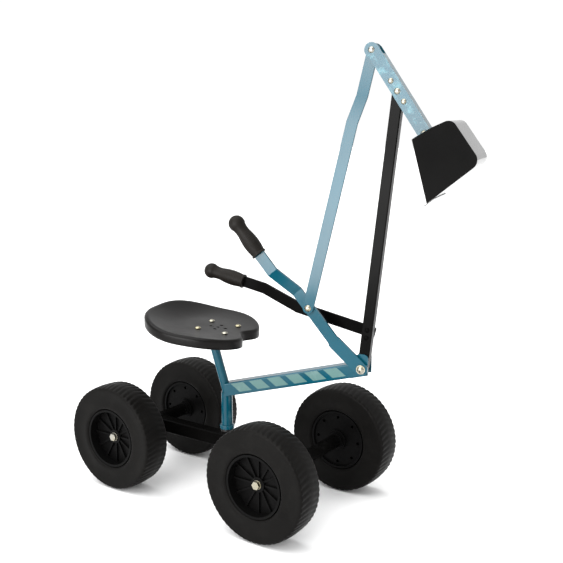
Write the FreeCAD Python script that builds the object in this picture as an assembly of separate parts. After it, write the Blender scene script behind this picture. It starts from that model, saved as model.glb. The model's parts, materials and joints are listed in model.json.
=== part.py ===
import FreeCAD, Part
import math
import os
from FreeCAD import Placement, Rotation, Vector

# Ride-on sand digger: a four-wheeled chassis, a swivelling seat frame, and a boom with a bucket worked by
# two hand levers. Millimetres. Origin on the floor under the swivel axis, +X to the front, +Z up.

# Chassis
WHEEL_R = 100.0
WHEEL_W = 56.0
WHEELBASE = 354.0
TRACK_REAR = 214.0
TRACK_FRONT = 264.0
AXLE_TUBE_R = 12.5
CHASSIS_TUBE = 25.0
CHASSIS_TOP = 108.0
TUBE_WALL = 2.0

# Wheels, measured outwards from the wheel's middle plane
TYRE_INNER_R = 55.0
HUB_BOSS_R = 19.0
HUB_OUTER_BOSS_R = 13.0
HUB_BORE_R = 7.0
HUB_INNER_FACE = -34.0
HUB_OUTER_FACE = 12.0
OUTER_WEB = (2.0, 6.0)
INNER_WEB = (-22.0, -18.0)
HUB_RIBS = 12
HUB_HOLES = 8
AXLE_BOLT_R = 4.0

# Swivel and seat post
SWIVEL_REST_DEG = 14.0
SLEEVE_R = 10.65
SLEEVE_BORE_R = 8.5
SLEEVE_Z = (118.5, 190.0)
PIVOT_TUBE_R = 8.45
PIVOT_TUBE_TOP = 146.0
SEAT_POST_R = 8.45
SEAT_POST_LEAN_DEG = 16.0
SEAT_POST_BEND_Z = 192.0
SEAT_POST_BEND_R = 44.0

# Beam and fork
BEAM = 25.0
BEAM_SLOPE_DEG = 14.4
BEAM_AXIS_Z = 196.1
BEAM_END_S = 244.0
FORK_END_S = 275.0
CHEEK_N = (10.5, 13.0)
STRIPES = 6
STRIPE_FIRST_S = 17.0
STRIPE_PITCH = 37.0
STRIPE_WIDTH = 25.0
STRIPE_SLANT = 13.7
STRIPE_HEIGHT = 17.0

# Boom, levers and link, all in the upright plane of the boom: s forward, z up
MAIN_PIVOT = (264.0, 265.6)
BOOM = 19.0
BOOM_LENGTH = 475.0
BOOM_LEAN_DEG = 6.2
FLAT_BAR_W = 20.0
LEVER_T = 5.0
LINK_T = 4.0
BOLT_R = 4.0
RUNNING = 0.05
TOP_EYE_R = 11.5
TOP_EYE_BORE_R = 8.0
TOP_PIN_R = 3.0
LEVER_N = -17.1
LINK_N = -22.6
LEVER_BEND = 64.0
LEVER_LOWER_DEG = 138.0
LEVER_UPPER_DEG = 129.2
LEVER_PIN = 76.6
LEVER_GRIP_N = -55.0
BOOM_LEVER_N = 12.0
BOOM_LEVER_DEG = 166.2
BOOM_LEVER_AT = 62.0
BOOM_LEVER_GRIP_N = 57.0

# Dipper arm and bucket
DIPPER_DEG = -56.1
DIPPER_ARM = 80.0
DIPPER_LENGTH = 163.0
DIPPER_N = 12.5
DIPPER_OPEN_Q = -10.0
DIPPER_WEB_Q = (10.5, 12.5)
BUCKET_HALF_W = 52.0
SHEET_T = 2.0
BUCKET_OUTLINE = [(350.0, 662.0), (379.0, 680.0), (412.0, 695.0), (460.0, 628.0), (377.0, 561.0)]
BUCKET_CORNER_R = [0.0, 60.0, 14.0, 16.0, 0.0]

# Seat pan, around a centre at s = SEAT_S
SEAT_S = -47.0
SEAT_Z = 315.4
SEAT_HALF_DEPTH = 99.0
SEAT_HALF_WIDTH = 113.0
SEAT_SHEET = 2.5
SEAT_BRACKET_T = 4.0
SEAT_SKIRT = 18.0
SEAT_TILT = -0.093
SEAT_LIFT_REAR = 26.0
SEAT_LIFT_SIDE = 8.0
SEAT_LIFT_FRONT = -2.0
SEAT_BOLT_CENTRE_S = -16.0
SEAT_BOLTS = (54.0, 60.0)

X = Vector(1, 0, 0)
Y = Vector(0, 1, 0)
Z = Vector(0, 0, 1)
parts = {}


# ---- general shapes ----

def cyl(centre, axis, radius, start, end):
    """A round bar along axis, from start to end measured from centre."""
    return Part.makeCylinder(radius, end - start, centre + axis * start, axis)


def ring(centre, axis, outer, inner, start, end):
    return cyl(centre, axis, outer, start, end).cut(cyl(centre, axis, inner, start - 1, end + 1))


def box(x, y, z):
    return Part.makeBox(x[1] - x[0], y[1] - y[0], z[1] - z[0], Vector(x[0], y[0], z[0]))


def fuse(shapes):
    return shapes[0].fuse(shapes[1:]).removeSplitter()


def group(shapes):
    return Part.makeCompound(shapes)


def square_tube(length, size, wall, corner=2.5):
    """A square tube along +X from the origin, with rounded outer corners."""
    half = size / 2
    outer = box((0, length), (-half, half), (-half, half))
    along = [e for e in outer.Edges if abs(e.tangentAt(e.FirstParameter).x) > 0.99]
    outer = outer.makeFillet(corner, along)
    inner = half - wall
    return outer.cut(box((-1, length + 1), (-inner, inner), (-inner, inner)))


def corner_wire(points, radii, plane=lambda a, b: Vector(a, 0, b)):
    """A closed wire through points, with each corner rounded by its radius."""
    edges, ends = [], []
    count = len(points)
    for i, (corner, radius) in enumerate(zip(points, radii)):
        here = Vector(corner[0], corner[1], 0)
        before = Vector(*points[i - 1], 0) - here
        after = Vector(*points[(i + 1) % count], 0) - here
        before.normalize()
        after.normalize()
        if radius <= 0:
            ends.append((here, None, here))
            continue
        half = before.getAngle(after) / 2
        reach = radius / math.tan(half)
        middle = (before + after).normalize() * (radius / math.sin(half) - radius)
        ends.append((here + before * reach, here + middle, here + after * reach))
    for i in range(count):
        start, middle, end = (None if p is None else plane(p.x, p.y) for p in ends[i])
        if middle is not None:
            edges.append(Part.Arc(start, middle, end).toShape())
        following = ends[(i + 1) % count][0]
        edges.append(Part.LineSegment(end, plane(following.x, following.y)).toShape())
    return Part.Wire(edges)


def plate(points, n_from, n_to, radii=None):
    """A flat plate with an outline in the upright plane, from n_from to n_to across it."""
    wire = corner_wire(points, radii or [0.0] * len(points))
    wire.translate(Vector(0, n_from, 0))
    return Part.Face(wire).extrude(Vector(0, n_to - n_from, 0))


def in_plane(shape, point, angle):
    """Lay a piece built along +X at a point of the upright plane, turned up by angle."""
    shape = shape.copy()
    shape.rotate(Vector(0, 0, 0), Y, -angle)
    shape.translate(Vector(point[0], 0, point[1]))
    return shape


def along(point, angle, distance, across=0.0):
    a = math.radians(angle)
    return (point[0] + distance * math.cos(a) - across * math.sin(a),
            point[1] + distance * math.sin(a) + across * math.cos(a))


def strip(path, thickness, width):
    """A flat bar along +X whose sideways offset follows path, a list of (x, n)."""
    left, right = [], []
    for i, (x, n) in enumerate(path):
        here = Vector(x, n, 0)
        sides = []
        if i > 0:
            sides.append((here - Vector(*path[i - 1], 0)).normalize())
        if i < len(path) - 1:
            sides.append((Vector(*path[i + 1], 0) - here).normalize())
        mean = sides[0] + sides[-1]
        mean.normalize()
        normal = Vector(-mean.y, mean.x, 0)
        reach = thickness / 2 / mean.dot(sides[0])
        left.append(here + normal * reach)
        right.append(here - normal * reach)
    outline = Part.makePolygon(left + right[::-1] + left[:1])
    outline.translate(Vector(0, 0, -width / 2))
    return Part.Face(outline).extrude(Vector(0, 0, width))


def stadium(start, end, width, n_from, n_to):
    """A plate along +X with round ends centred at start and end."""
    r = width / 2
    return fuse([box((start, end), (n_from, n_to), (-r, r)),
                 cyl(Vector(start, 0, 0), Y, r, n_from, n_to), cyl(Vector(end, 0, 0), Y, r, n_from, n_to)])


def hex_prism(centre, axis, across_flats, start, end):
    sides = Part.makeCylinder(across_flats, end - start, centre + axis * start, axis)
    middle = centre + axis * ((start + end) / 2)
    across = Z if abs(axis.y) > 0.9 else axis.cross(Y)
    for k in range(6):
        normal = Rotation(axis, 60 * k).multVec(across)
        cutter = Part.makeBox(80, 80, 80, Vector(-40, -40, 0))
        cutter.Placement = Placement(middle + normal * (across_flats / 2), Rotation(Z, normal))
        sides = sides.cut(cutter)
    return sides


def dome_head(centre, axis, radius, height):
    """A low domed bolt head that starts at centre and rises along axis."""
    sphere_r = (radius ** 2 + height ** 2) / (2 * height)
    ball = Part.makeSphere(sphere_r, centre + axis * (height - sphere_r))
    return ball.common(cyl(centre, axis, radius + 1, 0, height))


def through_bolt(point, n_head, n_nut, r, head_r, nut_side=1.0):
    """A domed bolt across the boom's plane, and its nut, as one solid each."""
    centre = Vector(point[0], 0, point[1])
    head = dome_head(centre + Y * n_head, Y * -nut_side, head_r, head_r * 0.55)
    low, high = sorted((n_head, n_nut + nut_side * r * 1.7))
    shank = cyl(centre, Y, r, low, high)
    low, high = sorted((n_nut, n_nut + nut_side * r * 1.5))
    nut = hex_prism(centre, Y, r * 3.2, low, high).cut(cyl(centre, Y, r, low - 1, high + 1))
    return fuse([head, shank]), nut


def grip(start, end, tang):
    """A moulded hand grip along +X, with a flange, a barrel, a neck and a ball end."""
    ball_r = 14.5
    profile = [(start, 0), (start, 13.3), (start + 3, 13.3), (start + 4, 12.4), (start + 14, 13.8),
               (start + 26, 14.4), (start + 38, 13.8), (end - 29, 11.5), (end - 22, 11.5), (end - 22, 0)]
    outline = Part.makePolygon([Vector(x, 0, z) for x, z in profile + profile[:1]])
    body = Part.Face(outline).revolve(Vector(0, 0, 0), X, 360)
    return body.fuse(Part.makeSphere(ball_r, Vector(end - ball_r, 0, 0))).cut(tang)


def upper(shape):
    """Turn a piece of the swivelling frame from its own plane to its rest angle."""
    shape = shape.copy()
    shape.rotate(Vector(0, 0, 0), Z, SWIVEL_REST_DEG)
    return shape


# ---- chassis ----

def axles():
    """Both axles with everything that stays on them, as seen from each wheel."""
    bolts, washers, plugs, screws = [], [], [], []
    for name, x, track in (("front", WHEELBASE / 2, TRACK_FRONT), ("rear", -WHEELBASE / 2, TRACK_REAR)):
        end = track / 2 + HUB_INNER_FACE - 1.6
        centre = Vector(x, 0, WHEEL_R)
        tube_r = AXLE_TUBE_R - TUBE_WALL
        parts[name + "_axle_tube"] = ring(centre, Y, AXLE_TUBE_R, tube_r, -end, end)
        for side in (1, -1):
            out = Y * side
            plug = ring(centre, out, tube_r, AXLE_BOLT_R, end - 14, end)
            plugs.append(plug)
            face = track / 2 + HUB_OUTER_FACE + 0.1
            washers.append(ring(centre, out, 11.0, AXLE_BOLT_R, end, end + 1.5))
            washers.append(ring(centre, out, 8.0, AXLE_BOLT_R, face, face + 1.6))
            head = hex_prism(centre, out, 13.0, face + 1.6, face + 6.9)
            shank = cyl(centre, out, AXLE_BOLT_R, end - 14, face + 2)
            bolts.append(fuse([head, shank]))
            head = cyl(centre + out * (end - 9), -X, 3.5, 8, AXLE_TUBE_R + 2.2)
            screws.append(head.cut(cyl(centre, Y, AXLE_TUBE_R, -150, 150)))
    parts["axle_bolts"] = group(bolts)
    parts["axle_washers"] = group(washers)
    parts["axle_end_plugs"] = group(plugs)
    parts["axle_tube_screws"] = group(screws)


def chassis_tube():
    """The lengthways tube, notched to sit against both axle tubes."""
    half = WHEELBASE / 2
    tube = square_tube(WHEELBASE, CHASSIS_TUBE, TUBE_WALL)
    tube.translate(Vector(-half, 0, CHASSIS_TOP - CHASSIS_TUBE / 2))
    for x in (-half, half):
        tube = tube.cut(cyl(Vector(x, 0, WHEEL_R), Y, AXLE_TUBE_R, -60, 60))
        tube = tube.cut(box((x - 20, x) if x < 0 else (x, x + 20), (-20, 20), (60, 140)))
    return tube.cut(cyl(Vector(0, 0, 0), Z, AXLE_BOLT_R + 0.2, 70, 130))


def swivel_fixed():
    """The upright pivot tube on the chassis, its foot, and the long bolt that keeps the swivel on."""
    origin = Vector(0, 0, 0)
    parts["pivot_foot"] = ring(origin, Z, 12.4, 8.45, CHASSIS_TOP, CHASSIS_TOP + 7)
    parts["pivot_tube"] = ring(origin, Z, PIVOT_TUBE_R, PIVOT_TUBE_R - 2.5, CHASSIS_TOP, PIVOT_TUBE_TOP)
    parts["swivel_washer"] = ring(origin, Z, 12.6, PIVOT_TUBE_R, CHASSIS_TOP + 7, SLEEVE_Z[0] - 0.1)
    bottom = CHASSIS_TOP - CHASSIS_TUBE
    head = hex_prism(origin, Z, 13.0, bottom - 6.9, bottom - 1.6)
    parts["swivel_bolt"] = fuse([head, cyl(origin, Z, AXLE_BOLT_R, bottom - 3, 158.5)])
    parts["swivel_nut"] = group([hex_prism(origin, Z, 13.0, 151.2, 157.5).cut(cyl(origin, Z, 4.0, 140, 170)),
                                 ring(origin, Z, 9.0, 4.0, bottom - 1.6, bottom)])


# ---- wheels ----

def tyre():
    """A wheel's tyre about +Y, with rounded shoulders and a flat crown."""
    half = WHEEL_W / 2
    crown = 10.0
    wire = corner_wire([(TYRE_INNER_R, -half), (WHEEL_R - 3, -half), (WHEEL_R, -crown), (WHEEL_R, crown),
                        (WHEEL_R - 3, half), (TYRE_INNER_R, half)], [0, 9, 60, 60, 9, 0],
                       lambda a, b: Vector(a, b, 0))
    return Part.Face(wire).revolve(Vector(0, 0, 0), Y, 360)


def hub():
    """A moulded hub about +Y: rim, outer web with ribs, inner web with holes, and a stepped boss."""
    o = Vector(0, 0, 0)
    half = WHEEL_W / 2 - 2
    solids = [ring(o, Y, TYRE_INNER_R, TYRE_INNER_R - 4, -half, half),
              ring(o, Y, TYRE_INNER_R - 3, HUB_BORE_R, *OUTER_WEB),
              ring(o, Y, TYRE_INNER_R - 3, HUB_BORE_R, *INNER_WEB),
              ring(o, Y, HUB_OUTER_BOSS_R, HUB_BORE_R, 0, HUB_OUTER_FACE),
              ring(o, Y, HUB_BOSS_R, HUB_BORE_R, -27, 3),
              ring(o, Y, HUB_BOSS_R - 4, HUB_BORE_R, HUB_INNER_FACE, -26)]
    for k in range(HUB_RIBS):
        rib = box((HUB_OUTER_BOSS_R - 1, TYRE_INNER_R - 3), (OUTER_WEB[1] - 1, OUTER_WEB[1] + 4), (-1.5, 1.5))
        rib.rotate(o, Y, 360 / HUB_RIBS * k)
        solids.append(rib)
    shape = fuse(solids)
    for k in range(HUB_HOLES):
        a = 2 * math.pi * k / HUB_HOLES
        at = Vector(43 * math.cos(a), 0, 43 * math.sin(a))
        shape = shape.cut(cyl(at, Y, 3.0, INNER_WEB[0] - 1, INNER_WEB[1] + 1))
    return shape


def wheels():
    tyre_shape, hub_shape = tyre(), hub()
    bush_shape = ring(Vector(0, 0, 0), Y, HUB_BORE_R, AXLE_BOLT_R + RUNNING, HUB_INNER_FACE, HUB_OUTER_FACE)
    for name, x, track in (("front", WHEELBASE / 2, TRACK_FRONT), ("rear", -WHEELBASE / 2, TRACK_REAR)):
        for hand, side in (("left", 1), ("right", -1)):
            for piece, shape in (("tyre", tyre_shape), ("hub", hub_shape), ("bush", bush_shape)):
                placed = shape.copy()
                if side < 0:
                    placed.rotate(Vector(0, 0, 0), Z, 180)
                placed.translate(Vector(x, side * track / 2, WHEEL_R))
                parts[f"{name}_{hand}_{piece}"] = placed


# ---- swivelling frame ----

def seat_post_path():
    """Centre line of the seat post: upright in the sleeve, then leaning to the rear."""
    lean = math.radians(SEAT_POST_LEAN_DEG)
    reach = SEAT_POST_BEND_R * math.tan(lean / 2)
    bend = Vector(0, 0, SEAT_POST_BEND_Z)
    slant = Vector(-math.sin(lean), 0, math.cos(lean))
    bottom, start, end = Vector(0, 0, 162), bend - Z * reach, bend + slant * reach
    centre = Vector(-SEAT_POST_BEND_R, 0, start.z)
    half = lean / 2
    middle = centre + Vector(math.cos(half), 0, math.sin(half)) * SEAT_POST_BEND_R
    top = bend + slant * ((seat_plate_z() - bend.z) / slant.z)
    return [Part.LineSegment(bottom, start).toShape(), Part.Arc(start, middle, end).toShape(),
            Part.LineSegment(end, top).toShape()]


def seat_plate_z():
    return SEAT_Z - 12.0


def seat_post(radius):
    path = Part.Wire(seat_post_path())
    circle = Part.Wire(Part.Circle(Vector(0, 0, 162), Z, radius).toShape())
    return path.makePipeShell([circle], True, False)


def beam_shape():
    """The sloping square beam, notched round the post at its rear end and cut upright at its front."""
    slope = math.radians(BEAM_SLOPE_DEG)
    tube = square_tube((BEAM_END_S + 60) / math.cos(slope), BEAM, TUBE_WALL)
    tube.translate(Vector(-20, 0, 0))
    tube = in_plane(tube, (0, BEAM_AXIS_Z), BEAM_SLOPE_DEG)
    tube = tube.common(box((1.5, BEAM_END_S), (-30, 30), (120, 400)))
    tube = tube.cut(cyl(Vector(0, 0, 0), Z, SLEEVE_R, 100, SLEEVE_Z[1])).cut(seat_post(SEAT_POST_R))
    return max(tube.Solids, key=lambda s: s.Volume)


def beam_z(s, across=0.0):
    slope = math.radians(BEAM_SLOPE_DEG)
    return BEAM_AXIS_Z + s * math.tan(slope) + across / math.cos(slope)


def fork_cheek(side):
    """A cheek plate that carries the main pivot, butted to the beam's end."""
    half = BEAM / 2
    outline = [(BEAM_END_S, beam_z(BEAM_END_S, -half)), (FORK_END_S, beam_z(FORK_END_S, -half)),
               (FORK_END_S, 291.0), (254.0, 291.0), (BEAM_END_S, beam_z(BEAM_END_S, half))]
    near, far = sorted((side * CHEEK_N[0], side * CHEEK_N[1]))
    cheek = plate(outline, near, far, [0, 0, 8, 10, 0])
    return cheek.cut(cyl(Vector(MAIN_PIVOT[0], 0, MAIN_PIVOT[1]), Y, BOLT_R, -30, 30))


def stripes():
    """Slanted rectangles of reflective tape along the beam's near side."""
    decals = []
    half = STRIPE_HEIGHT / 2
    for k in range(STRIPES):
        s = STRIPE_FIRST_S + STRIPE_PITCH * k
        outline = [(s, half), (s + STRIPE_WIDTH, half), (s + STRIPE_WIDTH + STRIPE_SLANT, -half),
                   (s + STRIPE_SLANT, -half)]
        decal = plate(outline, -BEAM / 2 - 0.3, -BEAM / 2)
        decals.append(in_plane(decal, (0, BEAM_AXIS_Z + 1.5), BEAM_SLOPE_DEG))
    return group(decals)


def swivel_frame():
    origin = Vector(0, 0, 0)
    parts["swivel_sleeve"] = ring(origin, Z, SLEEVE_R, SLEEVE_BORE_R, *SLEEVE_Z)
    collar = cyl(origin, Z, 13.6, SLEEVE_Z[0], SLEEVE_Z[0] + 8)
    collar = collar.makeChamfer(1.2, [e for e in collar.Edges if e.Closed and e.Curve.TypeId == "Part::GeomCircle"])
    parts["swivel_collar"] = collar.cut(cyl(origin, Z, SLEEVE_R, 100, 140))
    parts["sleeve_plate"] = ring(origin, Z, SLEEVE_BORE_R, AXLE_BOLT_R + 0.1, 147.0, 151.0)
    post = seat_post(SEAT_POST_R).cut(seat_post(SEAT_POST_R - 1.5))
    parts["seat_post"] = post.common(box((-200, 60), (-30, 30), (0, seat_plate_z() - SEAT_BRACKET_T)))
    parts["beam"] = beam_shape()
    parts["fork_cheek_left"] = fork_cheek(1)
    parts["fork_cheek_right"] = fork_cheek(-1)
    parts["stripe_decals"] = stripes()
    pivot = Vector(MAIN_PIVOT[0], 0, MAIN_PIVOT[1])
    bolt, nut = through_bolt(MAIN_PIVOT, LEVER_N - LEVER_T / 2 - 1.6, CHEEK_N[1] + 1.2, BOLT_R, 6.5)
    parts["main_pivot_bolt"] = group([bolt, nut])
    lever_face = LEVER_N + LEVER_T / 2 + 0.1
    parts["main_pivot_washers"] = group([
        ring(pivot, Y, 9.0, BOLT_R, -CHEEK_N[0], -BOOM / 2 - 0.1),
        ring(pivot, Y, 9.0, BOLT_R, BOOM / 2 + 0.1, CHEEK_N[0]),
        ring(pivot, Y, 9.0, BOLT_R, lever_face, -CHEEK_N[1]),
        ring(pivot, Y, 8.0, BOLT_R, LEVER_N - LEVER_T / 2 - 1.6, LEVER_N - LEVER_T / 2 - 0.1),
        ring(pivot, Y, 8.0, BOLT_R, CHEEK_N[1], CHEEK_N[1] + 1.2)])


# ---- seat ----

def seat_outline():
    """Closed outline of the pan from above, as (u, v): wide, with two thigh lobes and a notch in front."""
    points = []
    for k in range(48):
        a = 2 * math.pi * k / 48
        u, v = math.cos(a), math.sin(a)
        squareness = (abs(u) ** 2.4 + abs(v) ** 2.4) ** (-1 / 2.4)
        notch = 1.0 - 0.19 * math.exp(-(v * squareness / 0.22) ** 2) * max(u, 0)
        points.append((SEAT_HALF_DEPTH * u * squareness * notch, SEAT_HALF_WIDTH * v * squareness))
    return points


def seat_height(u, v):
    """Height of the pan's top at u forward and v to the left of its centre."""
    x, y = u / SEAT_HALF_DEPTH, v / SEAT_HALF_WIDTH
    rho = min(math.hypot(x, y), 1.25)
    rise = max(0.0, (rho - 0.35) / 0.65) ** 2
    rear, side = max(-x, 0) / max(rho, 1e-6), abs(y) / max(rho, 1e-6)
    front = max(x, 0) / max(rho, 1e-6)
    lift = SEAT_LIFT_REAR * rear ** 2 + SEAT_LIFT_SIDE * side ** 2 + SEAT_LIFT_FRONT * front ** 2
    return SEAT_Z + SEAT_TILT * u + lift * rise


def smooth_closed(points):
    curve = Part.BSplineCurve()
    curve.interpolate([Vector(*p, 0) for p in points], PeriodicFlag=True)
    return Part.Wire(curve.toShape())


def seat_pan():
    """Pressed steel pan with a turned-down edge."""
    reach_u, reach_v, steps = SEAT_HALF_DEPTH + 12, SEAT_HALF_WIDTH + 12, 15
    grid = [[Vector(SEAT_S - reach_u + 2 * reach_u * i / (steps - 1), -reach_v + 2 * reach_v * j / (steps - 1), 0)
             for j in range(steps)] for i in range(steps)]
    for row in grid:
        for p in row:
            p.z = seat_height(p.x - SEAT_S, p.y)
    surface = Part.BSplineSurface()
    surface.interpolate(grid)
    top = surface.toShape()
    outline = smooth_closed([(SEAT_S + u, v) for u, v in seat_outline()])
    inner = smooth_closed([(SEAT_S + u * 0.978, v * 0.980) for u, v in seat_outline()])
    prism, core = (Part.Face(w).extrude(Vector(0, 0, 300)) for w in (outline, inner))
    for solid in (prism, core):
        solid.translate(Vector(0, 0, 200))
    pan = top.extrude(Vector(0, 0, -SEAT_SHEET)).common(prism)
    skirt = top.extrude(Vector(0, 0, -SEAT_SKIRT)).common(prism.cut(core))
    return pan.fuse(skirt)


def seat():
    depth, width = SEAT_BOLTS
    low = seat_plate_z()
    bracket = box((SEAT_BOLT_CENTRE_S - 38, SEAT_BOLT_CENTRE_S + 38), (-40, 40), (low - SEAT_BRACKET_T, low))
    bracket = bracket.makeFillet(8, [e for e in bracket.Edges if abs(e.tangentAt(0).z) > 0.99])
    pan = seat_pan()
    bolts, spacers = [], []
    for i in (-1, 1):
        for j in (-1, 1):
            s, n = SEAT_BOLT_CENTRE_S + i * depth / 2, j * width / 2
            at = Vector(s, n, 0)
            pan_z = seat_height(s - SEAT_S, n)
            pan = pan.cut(cyl(at, Z, 3.0, 250, 380))
            bracket = bracket.cut(cyl(at, Z, 3.0, 250, 380))
            head = dome_head(at + Z * (pan_z + 0.6), Z, 6.0, 3.2)
            bolts.append(fuse([head, cyl(at, Z, 3.0, low - 11, pan_z + 1)]))
            spacers.append(ring(at, Z, 6.0, 3.0, low, pan_z - SEAT_SHEET - 0.9))
            bolts.append(hex_prism(at, Z, 10.0, low - 9, low - 4).cut(cyl(at, Z, 3.0, 250, 380)))
    for u, v in ((0, 0), (14, 0), (-14, 0), (0, 15), (0, -15)):
        pan = pan.cut(cyl(Vector(SEAT_BOLT_CENTRE_S + u, v, 0), Z, 3.0, 250, 380))
    parts["seat_pan"] = pan
    parts["seat_bracket"] = bracket
    parts["seat_bolts"] = group(bolts)
    parts["seat_spacers"] = group(spacers)


# ---- boom with its lever ----

BOOM_DEG = 90.0 - BOOM_LEAN_DEG
DIPPER_PIVOT = along(MAIN_PIVOT, BOOM_DEG, BOOM_LENGTH)


def boom():
    """The boom tube with rounded, closed ends, and cross holes for its two bushes."""
    half = BOOM / 2
    bush_r = 6.5
    tube = square_tube(BOOM_LENGTH, BOOM, 1.8, 2.0)
    ends = [cyl(Vector(x, 0, 0), Y, half, -half, half) for x in (0, BOOM_LENGTH)]
    tube = fuse([tube] + ends)
    for x in (0, BOOM_LENGTH):
        tube = tube.cut(cyl(Vector(x, 0, 0), Y, bush_r, -half - 1, half + 1))
        name = "boom_lower_bush" if x == 0 else "boom_upper_bush"
        bush = ring(Vector(x, 0, 0), Y, bush_r, BOLT_R + RUNNING, -half, half)
        parts[name] = in_plane(bush, MAIN_PIVOT, BOOM_DEG)
    lever_at = along(MAIN_PIVOT, BOOM_DEG, BOOM_LEVER_AT)
    bolts = []
    tube = in_plane(tube, MAIN_PIVOT, BOOM_DEG)
    lever = boom_lever(lever_at)
    for offset in (-7.0, 7.0):
        point = along(MAIN_PIVOT, BOOM_DEG, BOOM_LEVER_AT + offset)
        bolts += through_bolt(point, -half, BOOM_LEVER_N + LEVER_T / 2, 2.5, 4.5)
        hole = cyl(Vector(point[0], 0, point[1]), Y, 2.5, -30, 30)
        tube, lever = tube.cut(hole), lever.cut(hole)
    parts["boom_tube"] = tube
    parts["boom_lever"] = lever
    parts["boom_lever_bolts"] = group(bolts)


def lever_bar(path, start, end, tang_from):
    """A joggled flat bar along +X, narrowed to a tang where the grip goes on."""
    bar = strip(path, LEVER_T, FLAT_BAR_W)
    shape = stadium(start, end, FLAT_BAR_W, -80, 80)
    narrow = box((tang_from, end + 30), (-80, 80), (7, 30))
    for cutter in (narrow, narrow.mirror(Vector(0, 0, 0), Z)):
        shape = shape.cut(cutter)
    return bar.common(shape)


def grip_on(path, start, end):
    """A grip round the last, straight stretch of a joggled bar."""
    n = path[-1][1]
    tang = box((start - 1, end - 8), (-LEVER_T / 2, LEVER_T / 2), (-7, 7))
    shape = grip(start, end, tang)
    shape.translate(Vector(0, n, 0))
    return shape


def boom_lever(at):
    path = [(-10, BOOM_LEVER_N), (138, BOOM_LEVER_N), (223, BOOM_LEVER_GRIP_N), (335, BOOM_LEVER_GRIP_N)]
    bar = lever_bar(path, -4, 329, 266)
    bar = bar.common(box((-20, 335), (-90, 90), (-15, 15)))
    parts["boom_lever_grip"] = in_plane(grip_on(path, 266, 349), at, BOOM_LEVER_DEG)
    return in_plane(bar, at, BOOM_LEVER_DEG)


# ---- bucket lever and link ----

LEVER_KNEE = along(MAIN_PIVOT, LEVER_LOWER_DEG, LEVER_BEND)
LINK_PIN = along(LEVER_KNEE, LEVER_UPPER_DEG, LEVER_PIN)
TOP_PIN = along(DIPPER_PIVOT, DIPPER_DEG, -DIPPER_ARM)


def bucket_lever():
    """The cranked lever that works the bucket, its grip, and the pin that carries the link."""
    near, far = LEVER_N - LEVER_T / 2, LEVER_N + LEVER_T / 2
    lower = stadium(0, LEVER_BEND, FLAT_BAR_W + 4, near, far)
    lower = in_plane(lower, MAIN_PIVOT, LEVER_LOWER_DEG)
    path = [(0, LEVER_N), (112, LEVER_N), (162, LEVER_GRIP_N), (270, LEVER_GRIP_N)]
    upper_bar = in_plane(lever_bar(path, 2, 262, 200), LEVER_KNEE, LEVER_UPPER_DEG)
    bar = lower.fuse(upper_bar).removeSplitter()
    bar = bar.cut(cyl(Vector(MAIN_PIVOT[0], 0, MAIN_PIVOT[1]), Y, BOLT_R + RUNNING, -60, 60))
    bolt, nut = through_bolt(LINK_PIN, LINK_N - LINK_T / 2 - 0.1, far, BOLT_R, 6.0)
    bar = bar.cut(cyl(Vector(LINK_PIN[0], 0, LINK_PIN[1]), Y, BOLT_R, -60, 60))
    parts["bucket_lever"] = bar
    parts["bucket_lever_grip"] = in_plane(grip_on(path, 200, 281), LEVER_KNEE, LEVER_UPPER_DEG)
    parts["link_pin"] = group([bolt, nut])
    washer = ring(Vector(LINK_PIN[0], 0, LINK_PIN[1]), Y, 8.0, BOLT_R, LINK_N + LINK_T / 2 + 0.1, near)
    parts["link_pin_washer"] = washer


def link():
    """The long push rod, joggled near its top so that its eye lies inside the dipper channel."""
    dx, dz = TOP_PIN[0] - LINK_PIN[0], TOP_PIN[1] - LINK_PIN[1]
    length, angle = math.hypot(dx, dz), math.degrees(math.atan2(dz, dx))
    path = [(-12, LINK_N), (length - 120, LINK_N), (length - 76, 0.0), (length + 14, 0.0)]
    bar = strip(path, LINK_T, 26).common(stadium(0, length, FLAT_BAR_W, -60, 60).fuse(
        cyl(Vector(length, 0, 0), Y, TOP_EYE_R, -60, 60)))
    bar = bar.cut(cyl(Vector(0, 0, 0), Y, BOLT_R + RUNNING, -60, 0))
    bar = bar.cut(cyl(Vector(length, 0, 0), Y, TOP_EYE_BORE_R, -60, 60))
    return in_plane(bar, LINK_PIN, angle)


# ---- dipper and bucket ----



def dipper_channel():
    """A channel open towards the rider, with two round ears at the top pin."""
    wall = DIPPER_WEB_Q[1] - DIPPER_WEB_Q[0]
    length = DIPPER_LENGTH + 20
    ear = DIPPER_WEB_Q[1]
    solids = []
    for side in (1, -1):
        near, far = sorted((side * DIPPER_N, side * (DIPPER_N - wall)))
        wall_plate = plate([(0, DIPPER_OPEN_Q), (length, DIPPER_OPEN_Q), (length, ear), (0, ear)], near, far)
        solids.append(wall_plate.fuse(cyl(Vector(0, 0, 0), Y, 12.0, near, far)))
    solids.append(box((15, length), (-DIPPER_N, DIPPER_N), DIPPER_WEB_Q))
    shape = fuse(solids)
    for x, r in ((0, TOP_PIN_R), (DIPPER_ARM - 20, 2.5), (DIPPER_ARM, BOLT_R), (DIPPER_ARM + 20, 2.5)):
        shape = shape.cut(cyl(Vector(x, 0, 0), Y, r, -30, 30))
    return in_plane(shape, TOP_PIN, DIPPER_DEG)


def bucket_top_slope():
    (s0, z0), (s1, z1) = BUCKET_OUTLINE[:2]
    return math.degrees(math.atan2(z1 - z0, s1 - s0))


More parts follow.
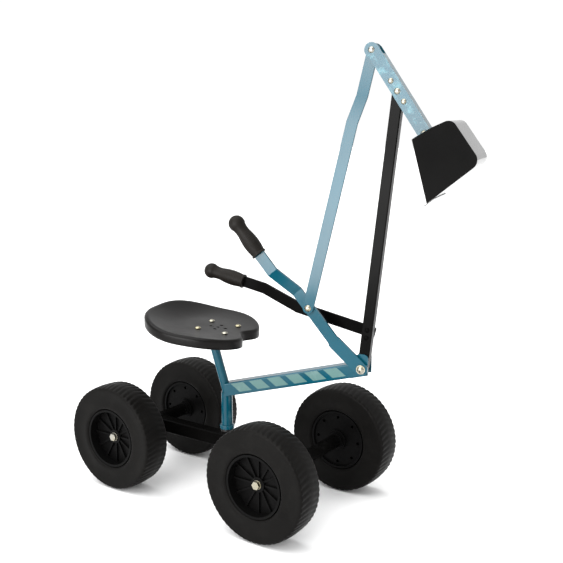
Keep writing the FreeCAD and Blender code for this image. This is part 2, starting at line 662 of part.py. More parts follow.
def dipper():
    slope = bucket_top_slope()
    above_sheet = [along(BUCKET_OUTLINE[0], slope, -200, 3.0), along(BUCKET_OUTLINE[0], slope, 120, 3.0),
                   (600, 1000), (100, 1000)]
    keep = plate(above_sheet, -40, 40)
    parts["dipper_channel"] = dipper_channel().common(keep)
    n_near = -DIPPER_N
    bolt, nut = through_bolt(DIPPER_PIVOT, n_near, DIPPER_N, BOLT_R, 5.5)
    parts["dipper_pivot_bolt"] = group([bolt, nut])
    pivot = Vector(DIPPER_PIVOT[0], 0, DIPPER_PIVOT[1])
    inner = DIPPER_N - 2.0
    parts["dipper_spacers"] = group([ring(pivot, Y, 8.0, BOLT_R, -inner, -BOOM / 2 - 0.1),
                                     ring(pivot, Y, 8.0, BOLT_R, BOOM / 2 + 0.1, inner)])
    bolt, nut = through_bolt(TOP_PIN, n_near, DIPPER_N, TOP_PIN_R, 5.5)
    parts["top_pin"] = group([bolt, nut])
    rivets = []
    for offset in (-20.0, 20.0):
        point = along(DIPPER_PIVOT, DIPPER_DEG, offset)
        centre = Vector(point[0], 0, point[1])
        for side in (-1, 1):
            head = dome_head(centre + Y * side * DIPPER_N, Y * side, 4.8, 2.6)
            rivets.append(fuse([head, cyl(centre, Y * side, 2.5, inner, DIPPER_N + 0.5)]))
    parts["dipper_rivets"] = group(rivets)


def bucket_shell(half_width):
    """The sheet that wraps round the back of the bucket, open at the mouth."""
    span = Vector(0, 2 * half_width, 0)
    wire = corner_wire(BUCKET_OUTLINE, BUCKET_CORNER_R)
    wire.translate(Vector(0, -half_width, 0))
    inside = Part.Face(wire.makeOffset2D(-SHEET_T)).extrude(span)
    top, bottom = Vector(*BUCKET_OUTLINE[0], 0), Vector(*BUCKET_OUTLINE[-1], 0)
    edge = (bottom - top).normalize()
    out_of_mouth = Vector(edge.y, 0, -edge.x) * 2.0 * SHEET_T
    return Part.Face(wire).extrude(span).cut(inside.fuse(inside.translated(out_of_mouth)))


def bucket():
    half, t = BUCKET_HALF_W, SHEET_T
    for name, side in (("bucket_side_left", 1), ("bucket_side_right", -1)):
        near, far = sorted((side * half, side * (half - t)))
        parts[name] = plate(BUCKET_OUTLINE, near, far, BUCKET_CORNER_R)
    inner = half - t
    parts["bucket_shell"] = bucket_shell(inner)
    tip, corner = BUCKET_OUTLINE[-1], BUCKET_OUTLINE[-2]
    angle = math.degrees(math.atan2(tip[1] - corner[1], tip[0] - corner[0]))
    lip = box((-14, 6), (-half, half), (0, 1.5))
    parts["cutting_lip"] = in_plane(lip, tip, angle)
    slope = bucket_top_slope()
    foot = box((-1, 30), (-24, 24), (0, 3.0))
    foot = in_plane(foot, BUCKET_OUTLINE[0], slope)
    screws = []
    for n in (-18.5, 18.5):
        at = along(BUCKET_OUTLINE[0], slope, 15)
        normal = Vector(-math.sin(math.radians(slope)), 0, math.cos(math.radians(slope)))
        base = Vector(at[0], n, at[1])
        foot = foot.cut(cyl(base, normal, 3.0, -10, 10))
        parts["bucket_shell"] = parts["bucket_shell"].cut(cyl(base, normal, 3.0, -6, 6))
        screws.append(fuse([dome_head(base + normal * 3.0, normal, 5.5, 3.0), cyl(base, normal, 3.0, -6, 4),
                            hex_prism(base, normal, 10.0, -6.5, -2.05)]))
    parts["dipper_foot"] = foot
    parts["bucket_bolts"] = group(screws)


def main():
    axles()
    parts["chassis_tube"] = chassis_tube()
    swivel_fixed()
    wheels()
    fixed = set(parts)
    swivel_frame()
    seat()
    boom()
    bucket_lever()
    parts["link"] = link()
    dipper()
    bucket()
    os.makedirs("parts", exist_ok=True)
    for name, shape in parts.items():
        placed = shape if name in fixed else upper(shape)
        placed.exportStep(f"parts/{name}.step")
        print(name, len(placed.Solids), round(placed.Volume / 1000, 2), placed.isValid())


main()
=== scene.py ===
import json
import math

import bmesh
import bpy
from mathutils import Matrix, Vector
from mathutils.bvhtree import BVHTree

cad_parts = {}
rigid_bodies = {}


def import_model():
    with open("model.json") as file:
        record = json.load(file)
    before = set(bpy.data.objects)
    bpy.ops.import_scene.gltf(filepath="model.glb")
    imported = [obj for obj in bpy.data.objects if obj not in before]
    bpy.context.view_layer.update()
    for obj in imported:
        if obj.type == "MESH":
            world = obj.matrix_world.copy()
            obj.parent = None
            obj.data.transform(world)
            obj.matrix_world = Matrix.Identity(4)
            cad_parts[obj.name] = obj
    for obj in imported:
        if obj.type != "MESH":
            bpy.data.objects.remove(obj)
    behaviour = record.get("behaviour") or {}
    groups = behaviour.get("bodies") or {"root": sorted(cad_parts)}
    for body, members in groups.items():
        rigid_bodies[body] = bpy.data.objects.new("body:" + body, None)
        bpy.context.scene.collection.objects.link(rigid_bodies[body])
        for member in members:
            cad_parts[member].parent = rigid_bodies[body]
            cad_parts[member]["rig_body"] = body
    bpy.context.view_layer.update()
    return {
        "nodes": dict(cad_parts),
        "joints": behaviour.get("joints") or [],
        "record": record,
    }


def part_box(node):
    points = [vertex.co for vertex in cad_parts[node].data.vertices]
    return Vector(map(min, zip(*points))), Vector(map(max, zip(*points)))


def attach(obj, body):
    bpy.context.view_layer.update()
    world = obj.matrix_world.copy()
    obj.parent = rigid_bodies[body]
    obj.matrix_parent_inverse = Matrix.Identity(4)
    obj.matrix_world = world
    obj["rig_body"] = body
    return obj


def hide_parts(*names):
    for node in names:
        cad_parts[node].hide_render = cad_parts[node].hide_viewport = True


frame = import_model()
MM = 0.001
JOINTS = {j["name"]: j for j in frame["joints"]}
NODES = frame["nodes"]
SLOT_OF = {s["node"]: s["material_slot"] for s in frame["record"]["subparts"]}

# The boom's own upright plane, s forward and n to the left, is turned about Z from the row frame.
REST_TURN = math.atan2(-JOINTS["boom_tilt"]["axis"][0], JOINTS["boom_tilt"]["axis"][1])
TO_ROW = Matrix.Rotation(REST_TURN, 4, "Z")

# The two grips' directions in that plane, in degrees up from s.
BUCKET_GRIP_DEG = 129.2
BOOM_GRIP_DEG = 166.2


# ---------------------------------------------------------------- materials

class Nodes:
    """A small helper that adds nodes and links to one material."""

    def __init__(self, name):
        self.material = bpy.data.materials.new(name)
        self.material.use_nodes = True
        self.tree = self.material.node_tree
        self.shader = self.tree.nodes["Principled BSDF"]
        self.place = self.add("ShaderNodeTexCoord").outputs["Object"]

    def add(self, kind, **values):
        """A new node; each value sets a property of that name, or else an input."""
        node = self.tree.nodes.new(kind)
        for key, value in values.items():
            if hasattr(node, key):
                setattr(node, key, value)
            else:
                node.inputs[key.replace("_", " ")].default_value = value
        return node

    def link(self, out, into):
        self.tree.links.new(out, into)

    def noise(self, scale, detail=3.0, roughness=0.5, stretch=None):
        """Noise over the object's own coordinates, scale waves a metre."""
        node = self.add("ShaderNodeTexNoise", Scale=scale, Detail=detail, Roughness=roughness)
        place = self.place
        if stretch:
            mapping = self.add("ShaderNodeMapping")
            mapping.inputs["Scale"].default_value = stretch
            self.link(place, mapping.inputs["Vector"])
            place = mapping.outputs["Vector"]
        self.link(place, node.inputs["Vector"])
        return node.outputs["Fac"]

    def ramp(self, source, stops):
        """A colour ramp through stops of (position, colour)."""
        node = self.add("ShaderNodeValToRGB")
        elements = node.color_ramp.elements
        while len(elements) < len(stops):
            elements.new(0.5)
        for element, (at, colour) in zip(elements, stops):
            element.position = at
            element.color = (*colour, 1.0)
        self.link(source, node.inputs["Fac"])
        return node.outputs["Color"]

    def mix(self, a, b, factor):
        """Colour a turning into colour b; a may be a colour or an output."""
        node = self.add("ShaderNodeMix", data_type="RGBA")
        self.link(factor, node.inputs[0])
        for value, socket in ((a, node.inputs[6]), (b, node.inputs[7])):
            if hasattr(value, "links"):
                self.link(value, socket)
            else:
                socket.default_value = (*value, 1.0)
        return node.outputs[2]

    def spread(self, source, low, high, out_low, out_high):
        """The range low to high mapped to the range out_low to out_high."""
        node = self.add("ShaderNodeMapRange")
        for key, value in (("From Min", low), ("From Max", high), ("To Min", out_low), ("To Max", out_high)):
            node.inputs[key].default_value = value
        self.link(source, node.inputs["Value"])
        return node.outputs["Result"]

    def total(self, a, b, weight):
        """a plus weight times b."""
        node = self.add("ShaderNodeMath", operation="MULTIPLY_ADD")
        self.link(b, node.inputs[0])
        node.inputs[1].default_value = weight
        self.link(a, node.inputs[2])
        return node.outputs[0]

    def bump(self, height, depth, strength):
        node = self.add("ShaderNodeBump", Distance=depth, Strength=strength)
        self.link(height, node.inputs["Height"])
        self.link(node.outputs["Normal"], self.shader.inputs["Normal"])

    def set(self, **values):
        """Constant values on the Principled shader, spaces in their names written as _."""
        for key, value in values.items():
            self.shader.inputs[key.replace("_", " ")].default_value = value

    def edges(self, low, high):
        """How worn an edge is, from 0 on flat faces to 1 on sharp outer edges."""
        pointiness = self.add("ShaderNodeNewGeometry").outputs["Pointiness"]
        return self.spread(pointiness, low, high, 0.0, 1.0)


def powder_coat(name, colour, rough, wear_colour, shine, orange_peel=0.00004):
    """Glossy powder coat: fine orange peel, faint colour drift, dulled patches and rubbed edges."""
    m = Nodes(name)
    drift = m.noise(9.0, 4.0)
    darker = tuple(c * 0.86 for c in colour)
    lighter = tuple(min(1.0, c * 1.10 + 0.002) for c in colour)
    base = m.ramp(drift, [(0.30, darker), (0.70, lighter)])
    rubbed = m.edges(0.58, 0.72)
    scuffs = m.spread(m.noise(60.0, 5.0, 0.65), 0.52, 0.66, 0.0, 1.0)
    worn = m.add("ShaderNodeMath", operation="MULTIPLY")
    m.link(rubbed, worn.inputs[0])
    m.link(scuffs, worn.inputs[1])
    m.link(m.mix(base, wear_colour, worn.outputs[0]), m.shader.inputs["Base Color"])
    patches = m.noise(24.0, 5.0, 0.6)
    m.link(m.spread(patches, 0.35, 0.75, rough * 0.9, rough * 1.15), m.shader.inputs["Roughness"])
    height = m.total(m.noise(420.0, 2.0), m.noise(1500.0, 2.0), 0.35)
    m.bump(height, orange_peel, 0.55)
    m.set(Coat_Weight=0.3 * shine, Coat_Roughness=0.10, Specular_IOR_Level=shine)
    return m.material


def moulded(name, colour, rough, grain, depth, shine, dust=0.0):
    """Matt moulded rubber or plastic with a fine grain, flow marks and a little dust."""
    m = Nodes(name)
    drift = m.noise(14.0, 5.0, 0.6)
    base = m.ramp(drift, [(0.30, tuple(c * 0.8 for c in colour)), (0.72, tuple(c * 1.25 for c in colour))])
    if dust:
        dusty = m.spread(m.noise(38.0, 6.0, 0.7), 0.50, 0.78, 0.0, dust)
        base = m.mix(base, DUST, dusty)
    m.link(base, m.shader.inputs["Base Color"])
    m.link(m.spread(m.noise(55.0, 4.0), 0.3, 0.7, rough * 0.88, min(1.0, rough * 1.12)),
           m.shader.inputs["Roughness"])
    height = m.total(m.noise(grain, 3.0, 0.6), m.noise(grain * 0.12, 3.0), 0.8)
    m.bump(height, depth, 0.6)
    m.set(Specular_IOR_Level=shine)
    return m.material


def zinc_plate(name, colour, rough=0.28):
    """Bright zinc with a faint yellow pickle tint, fine scratches and dull blotches."""
    m = Nodes(name)
    tint = m.noise(30.0, 3.0)
    m.link(m.ramp(tint, [(0.35, colour), (0.70, (colour[0] * 0.95, colour[1] * 0.88, colour[2] * 0.66))]),
           m.shader.inputs["Base Color"])
    m.link(m.spread(m.noise(240.0, 4.0), 0.3, 0.7, rough * 0.7, rough * 1.5), m.shader.inputs["Roughness"])
    m.bump(m.noise(1800.0, 2.0, 0.5, (1.0, 1.0, 0.15)), 0.00006, 0.5)
    m.set(Metallic=1.0)
    return m.material


def tape_film(name, colour):
    """Satin self-adhesive film with a woven sparkle and slightly soiled edges."""
    m = Nodes(name)
    cells = m.add("ShaderNodeTexVoronoi", Scale=900.0)
    m.link(m.place, cells.inputs["Vector"])
    sparkle = m.spread(cells.outputs["Distance"], 0.0, 0.7, 0.0, 1.0)
    base = m.mix(tuple(c * 0.94 for c in colour), tuple(min(1, c * 1.06) for c in colour), sparkle)
    soil = m.spread(m.noise(50.0, 5.0, 0.65), 0.55, 0.80, 0.0, 0.25)
    m.link(m.mix(base, (0.25, 0.33, 0.33), soil), m.shader.inputs["Base Color"])
    m.link(m.spread(m.noise(90.0), 0.3, 0.7, 0.30, 0.42), m.shader.inputs["Roughness"])
    m.bump(cells.outputs["Distance"], 0.00005, 0.4)
    return m.material


DUST = (0.20, 0.19, 0.17)
TEAL = (0.0001, 0.054, 0.082)
BLACK = (0.0014, 0.0013, 0.0012)
MATERIALS = {
    "blue_paint": powder_coat("teal_powder_coat", TEAL, 0.16, (0.04, 0.14, 0.17), 0.28),
    "black_paint": powder_coat("black_powder_coat", BLACK, 0.22, (0.008, 0.008, 0.008), 0.01),
    "tyre": moulded("tyre_rubber", (0.0042, 0.0039, 0.0036), 0.45, 900.0, 0.00020, 0.05, dust=0.015),
    "hub_plastic": moulded("hub_plastic", (0.0032, 0.0031, 0.0031), 0.40, 1300.0, 0.00010, 0.04, dust=0.006),
    "grip_rubber": moulded("grip_rubber", (0.0070, 0.0058, 0.0048), 0.50, 1500.0, 0.00014, 0.10, dust=0.01),
    "nylon": moulded("nylon", (0.010, 0.010, 0.010), 0.38, 1400.0, 0.00005, 0.3),
    "tape": tape_film("reflective_tape", (0.058, 0.135, 0.128)),
    "zinc": zinc_plate("zinc_plate", (0.36, 0.35, 0.31)),
}
BUCKET_MATERIAL = powder_coat("bucket_powder_coat", BLACK, 0.18, (0.02, 0.02, 0.02), 0.6)
BOOM_MATERIAL = powder_coat("boom_powder_coat", BLACK, 0.24, (0.008, 0.008, 0.008), 0.03)
SEAT_MATERIAL = powder_coat("seat_powder_coat", (0.0034, 0.0029, 0.0027), 0.32, (0.015, 0.015, 0.015), 0.09)

# ---------------------------------------------------------------- building pieces

def new_piece(name, bm, slot, body, replaces, material=None):
    """Turn a bmesh in the row frame into a piece that rides a body and stands for CAD nodes."""
    bmesh.ops.recalc_face_normals(bm, faces=bm.faces)
    mesh = bpy.data.meshes.new(name)
    bm.to_mesh(mesh)
    bm.free()
    for polygon in mesh.polygons:
        polygon.use_smooth = True
    piece = bpy.data.objects.new(name, mesh)
    bpy.context.scene.collection.objects.link(piece)
    mesh.materials.append(material or MATERIALS[slot])
    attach(piece, body)
    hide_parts(*replaces)
    return piece


def apply_modifiers(piece):
    """Keep a piece's final mesh and drop its modifiers."""
    bpy.context.view_layer.update()
    graph = bpy.context.evaluated_depsgraph_get()
    mesh = bpy.data.meshes.new_from_object(piece.evaluated_get(graph), preserve_all_data_layers=True,
                                           depsgraph=graph)
    piece.modifiers.clear()
    piece.data = mesh


def soften(node, width, material=None, slot=None):
    """A copy of a CAD node with its sharp edges rounded by width, which stands for the node."""
    source = NODES[node]
    bm = bmesh.new()
    bm.from_mesh(source.data)
    bmesh.ops.remove_doubles(bm, verts=bm.verts, dist=0.01 * MM)
    bmesh.ops.dissolve_limit(bm, angle_limit=math.radians(0.6), verts=bm.verts, edges=bm.edges)
    piece = new_piece(node + "_finished", bm, slot or SLOT_OF[node], source["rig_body"], [node],
                      material=material)
    bevel = piece.modifiers.new("edges", "BEVEL")
    bevel.width = width * MM
    bevel.segments = 2
    bevel.limit_method = "ANGLE"
    bevel.angle_limit = math.radians(35.0)
    bevel.use_clamp_overlap = True
    flat = piece.modifiers.new("flat_faces", "WEIGHTED_NORMAL")
    flat.mode = "FACE_AREA"
    flat.weight = 100
    apply_modifiers(piece)


def ring_mesh(bm, rows, closed_rows=True):
    """Quads between rows of points: each row is a closed loop, and closed_rows joins last to first."""
    loops = [[bm.verts.new(p) for p in row] for row in rows]
    count = len(loops[0])
    pairs = list(zip(loops, loops[1:])) + ([(loops[-1], loops[0])] if closed_rows else [])
    for a, b in pairs:
        for i in range(count):
            j = (i + 1) % count
            bm.faces.new((a[i], a[j], b[j], b[i]))


# ---------------------------------------------------------------- wheels

TREAD_LUGS = 60
TREAD_DEPTH = 1.0 * MM
TREAD_SKEW = 1.6                # how far the lugs lean, in half turns of their wave
TYRE_STEPS = TREAD_LUGS * 8
TYRE_INNER = 0.555              # the tyre's inner radius as a share of its outer radius
TYRE_SHOULDER_R = 5.0 * MM
TYRE_CROWN = 1.6 * MM
TYRE_DISH = 1.2 * MM
TYRE_LIP_R = 7.0 * MM
TYRE_BEAD_INSET = 12.0 * MM


def smoothstep(t):
    """0 below 0, 1 above 1, and a smooth rise between."""
    t = min(1.0, max(0.0, t))
    return t * t * (3.0 - 2.0 * t)


def tyre_profile(radius, inner, half):
    """Half section of the tyre as (radius, offset outwards, tread share), from bead to bead."""
    shoulder, crown, lip = TYRE_SHOULDER_R, TYRE_CROWN, TYRE_LIP_R
    points = []
    for k in range(0, 6):
        a = math.pi / 2 * k / 5
        points.append((inner + lip * (1 - math.cos(a)) * 0.8, half - lip * (1 - math.sin(a)), 0.0))
    start = inner + lip * 0.8
    for k in range(1, 7):
        t = k / 7
        points.append((start + t * (radius - crown - shoulder - start),
                       half - TYRE_DISH * math.sin(math.pi * t) * 0.9, 0.0))
    for k in range(0, 7):
        a = math.pi / 2 * k / 6
        points.append((radius - crown - shoulder * (1 - math.sin(a)), half - shoulder * (1 - math.cos(a)),
                       smoothstep(k / 5)))
    for k in range(1, 5):
        t = k / 4
        points.append((radius - crown * (1 - t) ** 2, (half - shoulder) * (1 - t), 1.0))
    return points + [(r, -w, s) for r, w, s in points[-2::-1]]


def make_tyre(node, body):
    """A solid tyre with a rounded inner lip, a flat sidewall and shallow leaning lugs."""
    low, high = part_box(node)
    centre = (low + high) / 2
    radius, half = (high.z - low.z) / 2, (high.y - low.y) / 2
    inner = radius * TYRE_INNER
    profile = tyre_profile(radius, inner, half)
    profile += [(inner, -half + TYRE_BEAD_INSET, 0.0), (inner, half - TYRE_BEAD_INSET, 0.0)]
    rows = []
    for k in range(TYRE_STEPS):
        angle = 2 * math.pi * k / TYRE_STEPS
        row = []
        for r, w, share in profile:
            skew = TREAD_SKEW * abs(w) / half
            wave = math.cos(TREAD_LUGS * angle + skew * math.pi)
            groove = smoothstep((0.35 - wave) / 1.2) * share * smoothstep(abs(w) / (0.5 * half))
            r_here = r - TREAD_DEPTH * groove
            row.append(centre + Vector((r_here * math.cos(angle), w, r_here * math.sin(angle))))
        rows.append(row)
    bm = bmesh.new()
    ring_mesh(bm, rows)
    new_piece(node + "_moulded", bm, "tyre", body, [node])


def make_wheels():
    for end in ("front", "rear"):
        for hand in ("left", "right"):
            name = f"{end}_{hand}"
            make_tyre(name + "_tyre", name + "_wheel")
            soften(name + "_hub", 0.8)


# ---------------------------------------------------------------- grips

GRIP_BALL_R = 14.5 * MM
GRIP_FLANGE_R = 13.3 * MM
GRIP_FLANGE = 3.6 * MM
GRIP_RIBS = 15
GRIP_STEPS = 48


def grip_profile(length):
    """Half section of a hand grip, from the bar's side to the ball end, as (distance, radius)."""
    ball, flange = GRIP_BALL_R, GRIP_FLANGE_R
    points = [(0.0, 8.0 * MM), (0.0, flange - 0.4 * MM), (0.4 * MM, flange), (2.6 * MM, flange),
              (3.2 * MM, flange - 0.4 * MM)]
    neck_at = length - 2 * ball + 1.5 * MM
    start, steps = GRIP_FLANGE, GRIP_RIBS * 4
    for k in range(steps + 1):
        t = k / steps
        bulge = 12.2 * MM + 2.2 * MM * math.sin(math.pi * min(1.0, t / 0.86)) - 0.6 * MM * smoothstep(t)
        rib = 0.28 * MM * math.cos(2 * math.pi * GRIP_RIBS * t) * math.sin(math.pi * t)
        points.append((start + (neck_at - start) * t, bulge + rib))
    centre = length - ball
    for k in range(1, 17):
        a = (math.pi - 0.90) * (1 - k / 16)
        points.append((centre + ball * math.cos(a), ball * math.sin(a)))
    return points


def make_grip(node, body, degrees):
    """A grip along the line of its CAD solid, which points up from s by degrees, flange to ball."""
    forward = direction_in_plane(degrees)
    points = [v.co for v in NODES[node].data.vertices]
    first, last = min(p.dot(forward) for p in points), max(p.dot(forward) for p in points)
    flange = [p for p in points if p.dot(forward) < first + 0.5 * MM]
    base = sum(flange, Vector()) / len(flange)
    side = forward.orthogonal().normalized()
    other = forward.cross(side).normalized()
    turns = [2 * math.pi * k / GRIP_STEPS for k in range(GRIP_STEPS)]
    bm = bmesh.new()
    rows = [[base + forward * x + (side * math.cos(a) + other * math.sin(a)) * max(r, 1e-5) for a in turns]
            for x, r in grip_profile(last - first)]
    ring_mesh(bm, rows, closed_rows=False)
    bmesh.ops.remove_doubles(bm, verts=bm.verts, dist=1e-5)
    borders = [e for e in bm.edges if e.is_boundary]
    bmesh.ops.contextual_create(bm, geom=borders)
    new_piece(node + "_moulded", bm, "grip_rubber", body, [node])


def direction_in_plane(degrees):
    """Unit vector in the row frame that points up from s by degrees, in the boom's plane."""
    a = math.radians(degrees)
    return TO_ROW.to_3x3() @ Vector((math.cos(a), 0.0, math.sin(a)))


# ---------------------------------------------------------------- seat

SEAT_SHEET = 2.5 * MM
SEAT_ROLL = 6.0 * MM
SEAT_SKIRT = 18.0 * MM
SEAT_SPOKES = 144
SEAT_RINGS = 26
SEAT_BEND_STEPS = 6
SEAT_SKIRT_STEPS = 3
SEAT_HOLE_R = 2.8 * MM
SEAT_HOLE_REACH = 14.5 * MM


def seat_shape():
    """The CAD pan's rear end, front end and half width, in the boom's own plane."""
    to_plane = TO_ROW.inverted()
    points = [to_plane @ v.co for v in NODES["seat_pan"].data.vertices]
    s_low, s_high = min(p.x for p in points), max(p.x for p in points)
    return s_low, s_high, max(p.y for p in points)


def seat_radius(angle, half_depth, half_width):
    """The pan's outline from above: a rounded oblong with two thigh lobes and a notch in front."""
    u, v = math.cos(angle), math.sin(angle)
    square = (abs(u) ** 2.4 + abs(v) ** 2.4) ** (-1 / 2.4)
    notch = 1.0 - 0.19 * math.exp(-(v * square / 0.22) ** 2) * max(u, 0.0)
    return Vector((half_depth * u * square * notch, half_width * v * square))


def surface_heights(middle):
    """A function that gives the height of the CAD pan's top at (s, n) in the boom's own plane."""
    source = NODES["seat_pan"].data
    to_plane = TO_ROW.inverted()
    bm = bmesh.new()
    bm.from_mesh(source)
    bm.transform(to_plane)
    tree = BVHTree.FromBMesh(bm)
    bm.free()
    down = Vector((0.0, 0.0, -1.0))

    def height(s, n):
        """Height of the pan at a place, or just inwards of it where the place is over a hole."""
        for step in range(40):
            share = 1.0 - 0.02 * step
            hit = tree.ray_cast(Vector((middle + (s - middle) * share, n * share, 1.0)), down)[0]
            if hit:
                return hit.z
        return tree.ray_cast(Vector((s + 8.0 * MM, n, 1.0)), down)[0].z
    return height


def seat_section(angle, centre, half_depth, half_width, height):
    """One spoke of the pan from near its middle to the skirt's foot, as (top points, bottom points)."""
    edge = seat_radius(angle, half_depth, half_width)
    ahead = seat_radius(angle + 0.01, half_depth, half_width)
    ahead -= seat_radius(angle - 0.01, half_depth, half_width)
    outward = Vector((ahead.y, -ahead.x)).normalized()
    flat_end = edge - outward * SEAT_ROLL
    z_end = height(centre + flat_end.x, flat_end.y)
    top, bottom = [], []
    for ring in range(1, SEAT_RINGS + 1):
        at = flat_end * (ring / SEAT_RINGS)
        z = height(centre + at.x, at.y)
        top.append(Vector((centre + at.x, at.y, z)))
        bottom.append(Vector((centre + at.x, at.y, z - SEAT_SHEET)))
    bends = [math.pi / 2 * step / SEAT_BEND_STEPS for step in range(1, SEAT_BEND_STEPS + 1)]
    drop = SEAT_SKIRT - SEAT_ROLL
    for row, r in ((top, SEAT_ROLL), (bottom, SEAT_ROLL - SEAT_SHEET)):
        for bend in bends:
            place = flat_end + outward * (r * math.sin(bend))
            row.append(Vector((centre + place.x, place.y, z_end - SEAT_ROLL + r * math.cos(bend))))
        place = flat_end + outward * r
        for step in range(1, SEAT_SKIRT_STEPS + 1):
            z = z_end - SEAT_ROLL - drop * step / SEAT_SKIRT_STEPS
            row.append(Vector((centre + place.x, place.y, z)))
    return top, bottom


def make_seat():
    """The pressed pan: a dished sheet whose edge rolls over a round bend into a turned-down skirt."""
    rear, front, half_width = seat_shape()
    lobe = max(seat_radius(math.radians(a), 1.0, 1.0).x for a in range(-90, 91))
    half_depth = (front - rear) / (1.0 + lobe)
    centre = rear + half_depth
    height = surface_heights(centre)
    spokes = [seat_section(2.0 * math.pi * k / SEAT_SPOKES, centre, half_depth, half_width, height)
              for k in range(SEAT_SPOKES)]
    bm = bmesh.new()
    sheets = []
    for side, depth in ((0, 0.0), (1, SEAT_SHEET)):
        verts = [[bm.verts.new(TO_ROW @ p) for p in spoke[side]] for spoke in spokes]
        hub = bm.verts.new(TO_ROW @ Vector((centre, 0.0, height(centre, 0.0) - depth)))
        for k in range(SEAT_SPOKES):
            a, b = verts[k], verts[(k + 1) % SEAT_SPOKES]
            bm.faces.new((hub, a[0], b[0]))
            for i in range(len(a) - 1):
                bm.faces.new((a[i], a[i + 1], b[i + 1], b[i]))
        sheets.append(verts)
    for k in range(SEAT_SPOKES):
        j = (k + 1) % SEAT_SPOKES
        bm.faces.new((sheets[0][k][-1], sheets[1][k][-1], sheets[1][j][-1], sheets[0][j][-1]))
    pan = new_piece("seat_pan_pressed", bm, "black_paint", "swivel_frame", ["seat_pan"], SEAT_MATERIAL)
    cross = ((0, 0), (1, 0), (-1, 0), (0, 1), (0, -1))
    drill(pan, [(SEAT_HOLE_REACH * u, SEAT_HOLE_REACH * v) for u, v in cross])


def drill(pan, offsets):
    """Round holes through the pan, around the middle of its bolts."""
    low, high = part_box("seat_bolts")
    top = Vector(((low.x + high.x) / 2, (low.y + high.y) / 2, high.z))
    bm = bmesh.new()
    for u, v in offsets:
        spot = top + TO_ROW.to_3x3() @ Vector((u, v, 0.0))
        bmesh.ops.create_cone(bm, cap_ends=True, segments=20, radius1=SEAT_HOLE_R, radius2=SEAT_HOLE_R,
                              depth=30.0 * MM, matrix=Matrix.Translation(spot))
    mesh = bpy.data.meshes.new("drills")
    bm.to_mesh(mesh)
    bm.free()
    drills = bpy.data.objects.new("drills", mesh)
    bpy.context.scene.collection.objects.link(drills)
    cut = pan.modifiers.new("holes", "BOOLEAN")
    cut.operation = "DIFFERENCE"
    cut.solver = "EXACT"
    cut.object = drills
    apply_modifiers(pan)
    bpy.data.objects.remove(drills)


# ---------------------------------------------------------------- studio

SKY_POWER = 3.3
BACKDROP_AZIMUTH = math.radians(125.0)
FLOOR_REACH = 14.0
PANEL_Z = 0.885                 # its lower edge bounds what the upright blue faces mirror


def soft_box(name, place, target, size, power, spread=180.0):
    """A rectangular soft light at a place, aimed at a target, which the camera doesn't see."""
    light = bpy.data.lights.new(name, "AREA")
    light.shape = "RECTANGLE"
    light.size, light.size_y = size
    light.energy = power
    light.spread = math.radians(spread)
    lamp = bpy.data.objects.new(name, light)
    lamp.location = place
    lamp.rotation_euler = (Vector(target) - Vector(place)).to_track_quat("-Z", "Y").to_euler()
    lamp.visible_camera = False
    bpy.context.scene.collection.objects.link(lamp)


def surroundings():
    """A white backdrop behind the digger and slightly dimmer surroundings, as one smooth gradient."""
    world = bpy.data.worlds.new("studio")
    world.use_nodes = True
    tree = world.node_tree
    tree.nodes["Background"].inputs["Color"].default_value = (1.0, 1.0, 1.0, 1.0)
    place = tree.nodes.new("ShaderNodeTexCoord").outputs["Generated"]
    toward = tree.nodes.new("ShaderNodeVectorMath")
    toward.operation = "DOT_PRODUCT"
    toward.inputs[1].default_value = (math.cos(BACKDROP_AZIMUTH), math.sin(BACKDROP_AZIMUTH), 0.0)
    tree.links.new(place, toward.inputs[0])
    level = tree.nodes.new("ShaderNodeMapRange")
    for key, value in (("From Min", -0.2), ("From Max", 0.75), ("To Min", 0.80), ("To Max", 1.02)):
        level.inputs[key].default_value = value
    level.interpolation_type = "SMOOTHSTEP"
    tree.links.new(toward.outputs["Value"], level.inputs["Value"])
    tree.links.new(level.outputs["Result"], tree.nodes["Background"].inputs["Strength"])
    return world


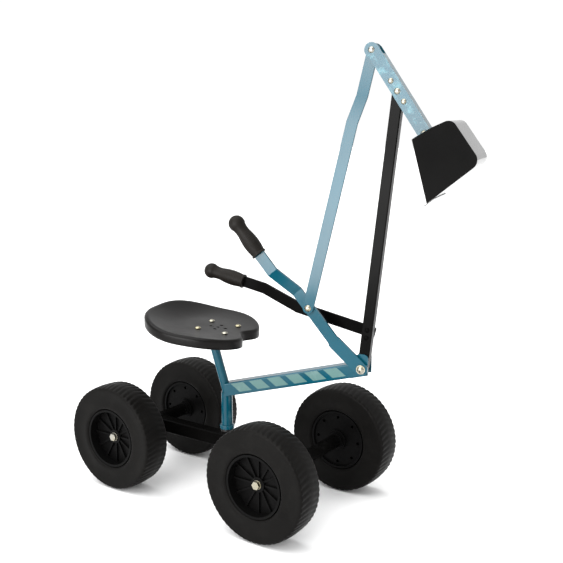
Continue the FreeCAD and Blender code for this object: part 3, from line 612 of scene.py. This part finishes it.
def studio():
    """A pale floor, a wide soft sky, a large near panel and a small one at the side."""
    scene = bpy.context.scene
    floor_mesh = bpy.data.meshes.new("floor")
    reach = FLOOR_REACH
    floor_mesh.from_pydata([(-reach, -reach, 0), (reach, -reach, 0), (reach, reach, 0), (-reach, reach, 0)],
                           [], [(0, 1, 2, 3)])
    floor = bpy.data.objects.new("floor", floor_mesh)
    scene.collection.objects.link(floor)
    m = Nodes("pale_floor")
    m.link(m.ramp(m.noise(0.6, 2.0), [(0.3, (0.90, 0.90, 0.90)), (0.7, (0.92, 0.92, 0.92))]),
           m.shader.inputs["Base Color"])
    m.set(Roughness=0.75, Specular_IOR_Level=0.2)
    floor_mesh.materials.append(m.material)
    scene.world = surroundings()
    middle = (0.05, 0.0, 0.35)
    sky = bpy.data.lights.new("sky", "SUN")
    sky.energy = SKY_POWER
    sky.angle = math.radians(70.0)
    lamp = bpy.data.objects.new("sky", sky)
    lamp.rotation_euler = (math.radians(14.0), math.radians(-10.0), 0.0)
    scene.collection.objects.link(lamp)
    soft_box("near_panel", (0.05, -1.25, PANEL_Z), (0.05, 0.0, PANEL_Z), (1.3, 1.45), 13, spread=80.0)
    soft_box("side_panel", (1.9, 0.9, 1.2), middle, (0.9, 1.4), 5)
    scene.view_settings.view_transform = "Standard"
    scene.view_settings.look = "None"


def camera():
    """The camera stands to the front right of the digger, a little above its seat."""
    data = bpy.data.cameras.new("camera")
    data.sensor_width = 36.0
    data.lens = 57.42
    data.clip_end = 60.0
    eye = bpy.data.objects.new("camera", data)
    eye.location = (1.007, -1.264, 0.708)
    eye.rotation_euler = (math.radians(90.0 - 10.82), 0.0, math.radians(34.91))
    bpy.context.scene.collection.objects.link(eye)
    bpy.context.scene.camera = eye


# How far each CAD node's sharp edges are rounded, in millimetres.
EDGE_WIDTHS = {
    "beam": 0.6, "fork_cheek_left": 0.6, "fork_cheek_right": 0.6, "link": 0.7, "bucket_lever": 0.8,
    "boom_lever": 0.8, "dipper_channel": 0.6, "dipper_foot": 0.5, "bucket_side_left": 0.5,
    "bucket_side_right": 0.5, "seat_bracket": 0.6, "axle_bolts": 0.5, "axle_washers": 0.3,
    "main_pivot_bolt": 0.4, "link_pin": 0.4, "dipper_pivot_bolt": 0.4, "top_pin": 0.4, "seat_bolts": 0.4,
    "chassis_tube": 0.5, "swivel_collar": 0.4,
}


def main():
    camera()
    studio()
    for node, piece in NODES.items():
        piece.data.materials.clear()
        piece.data.materials.append(MATERIALS[SLOT_OF[node]])
    make_wheels()
    make_seat()
    make_grip("bucket_lever_grip", "bucket_lever", BUCKET_GRIP_DEG)
    make_grip("boom_lever_grip", "boom", BOOM_GRIP_DEG)
    for node, width in EDGE_WIDTHS.items():
        soften(node, width)
    soften("boom_tube", 0.5, material=BOOM_MATERIAL)
    soften("bucket_shell", 0.4, material=BUCKET_MATERIAL)
    soften("cutting_lip", 0.4, material=BUCKET_MATERIAL)
    soften("boom_lever_bolts", 0.4, slot="black_paint")


main()
